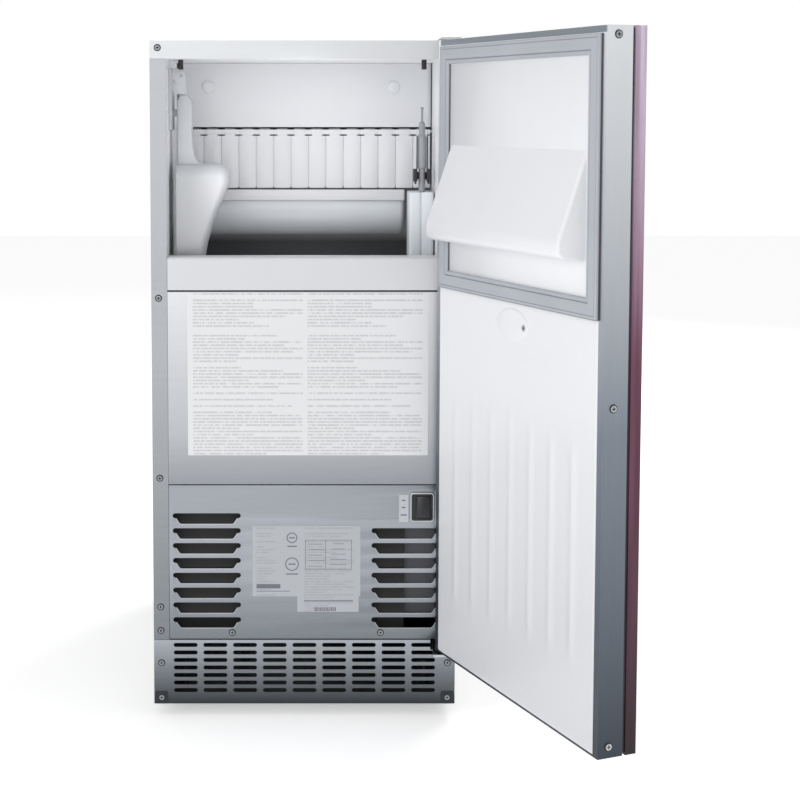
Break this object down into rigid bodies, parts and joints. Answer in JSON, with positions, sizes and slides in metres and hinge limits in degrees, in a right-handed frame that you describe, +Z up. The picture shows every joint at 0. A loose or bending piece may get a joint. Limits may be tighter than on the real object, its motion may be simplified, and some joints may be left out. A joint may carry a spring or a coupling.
{
  "type": "ice maker",
  "caption": "Built-in undercounter clear-ice maker: steel cabinet with a white ice bin, slat curtain, scoop and louvred base, and a wood-faced insulated door.",
  "frame": {"origin": "floor level, under the middle of the cabinet's front face", "axes": "+X to the viewer's right facing the front, +Y from the front towards the back, +Z up"},
  "size_m": [0.5357, 0.9088, 0.8472],
  "materials": {
    "painted_steel": "satin grey paint",
    "galvanised": "dull zinc-coated sheet",
    "rail_steel": "fine horizontal brush",
    "brushed_steel": "fine brush, satin",
    "door_steel": "vertical brush, satin",
    "hinge_steel": "zinc-plated plate",
    "screw_steel": "plated, slightly worn",
    "black_plastic": "moulded, fine texture",
    "grey_plastic": "flexible tube",
    "white_plastic": "vacuum-formed, semi-gloss",
    "foam": "cut polyurethane foam",
    "paper": "printed sheet under film",
    "label_foil": "satin foil",
    "tinned_copper": "tinned",
    "copper": "drawn copper tube",
    "aluminium": "bare fins",
    "black_paint": "black enamel",
    "rubber": "matt",
    "gasket_rubber": "soft grey vinyl, matt",
    "mahogany": "purple-brown mahogany, satin lacquer"
  },
  "bodies": {
    "cabinet": {"outer_wrapper": "painted_steel", "rear_panel": "galvanised", "base_pan": "galvanised", "front_top_rail": "rail_steel", "front_left_stile": "brushed_steel", "front_right_stile": "brushed_steel", "service_panel": "brushed_steel", "instruction_sheet": "paper", "rating_label": "label_foil", "louvre_panel": "brushed_steel", "kickplate": "brushed_steel", "switch_bezel": "black_plastic", "frame_screws": "screw_steel", "bin_liner": "white_plastic", "insulation_foam": "foam", "bin_sill": "white_plastic", "evaporator_cover": "white_plastic", "cover_buttons": "white_plastic", "evaporator_plate": "tinned_copper", "evaporator_tubing": "copper", "spray_bar": "white_plastic", "curtain_rod": "screw_steel", "water_trough": "white_plastic", "pump_cover": "white_plastic", "water_pump": "black_plastic", "riser_tube": "grey_plastic", "pipe_clips": "black_plastic", "scoop_hanger": "white_plastic", "compressor": "black_paint", "compressor_mounts": "rubber", "condenser": "aluminium", "fan_shroud": "galvanised", "fan_motor": "black_paint", "filter_drier": "copper", "refrigerant_lines": "copper", "water_inlet_valve": "white_plastic", "drain_pipe": "grey_plastic", "power_inlet": "black_plastic", "control_box": "galvanised", "top_hinge_bracket": "hinge_steel", "bottom_hinge_bracket": "hinge_steel"},
    "door": {"door_frame": "door_steel", "door_foam": "foam", "hinge_bushes": "black_plastic", "door_liner": "white_plastic", "door_lower_panel": "white_plastic", "door_cap": "white_plastic", "door_gasket": "gasket_rubber", "panel_spacer": "black_plastic", "wood_panel": "mahogany", "door_screws": "screw_steel"},
    "curtain": {"curtain_slats": "white_plastic"},
    "scoop": {"ice_scoop": "white_plastic"},
    "fan": {"fan_blade": "black_plastic"},
    "impeller": {"pump_impeller": "black_plastic"},
    "rocker": {"power_rocker": "black_plastic"},
    "foot_front_left": {"levelling_foot_front_left": "black_plastic"},
    "foot_front_right": {"levelling_foot_front_right": "black_plastic"},
    "foot_rear_left": {"levelling_foot_rear_left": "black_plastic"},
    "foot_rear_right": {"levelling_foot_rear_right": "black_plastic"}
  },
  "joints": [
    {"name": "door_hinge", "type": "hinge", "parent": "cabinet", "child": "door", "pos_m": [0.178, -0.018, 0], "axis": [0, 0, 1], "range_deg": [-112.3, 5]},
    {"name": "curtain_swing", "type": "hinge", "parent": "cabinet", "child": "curtain", "pos_m": [0, 0.176, 0.732], "axis": [-1, 0, 0], "range_deg": [0, 25]},
    {"name": "scoop_lift", "type": "slide", "parent": "cabinet", "child": "scoop", "axis": [0, 0, 1], "range_m": [0, 0.03]},
    {"name": "rocker_tilt", "type": "hinge", "parent": "cabinet", "child": "rocker", "pos_m": [0.149, 0.003, 0.2665], "axis": [1, 0, 0], "range_deg": [0, 10]},
    {"name": "fan_spin", "type": "hinge", "parent": "cabinet", "child": "fan", "pos_m": [-0.08, 0.1, 0.17], "axis": [0, 1, 0], "continuous": true},
    {"name": "impeller_spin", "type": "hinge", "parent": "cabinet", "child": "impeller", "pos_m": [0.1515, 0.138, 0.582], "axis": [0, 0, 1], "continuous": true},
    {"name": "foot_front_left_screw", "type": "slide", "parent": "cabinet", "child": "foot_front_left", "axis": [0, 0, -1], "range_m": [0, 0.012]},
    {"name": "foot_front_right_screw", "type": "slide", "parent": "cabinet", "child": "foot_front_right", "axis": [0, 0, -1], "range_m": [0, 0.012]},
    {"name": "foot_rear_left_screw", "type": "slide", "parent": "cabinet", "child": "foot_rear_left", "axis": [0, 0, -1], "range_m": [0, 0.012]},
    {"name": "foot_rear_right_screw", "type": "slide", "parent": "cabinet", "child": "foot_rear_right", "axis": [0, 0, -1], "range_m": [0, 0.012]}
  ]
}
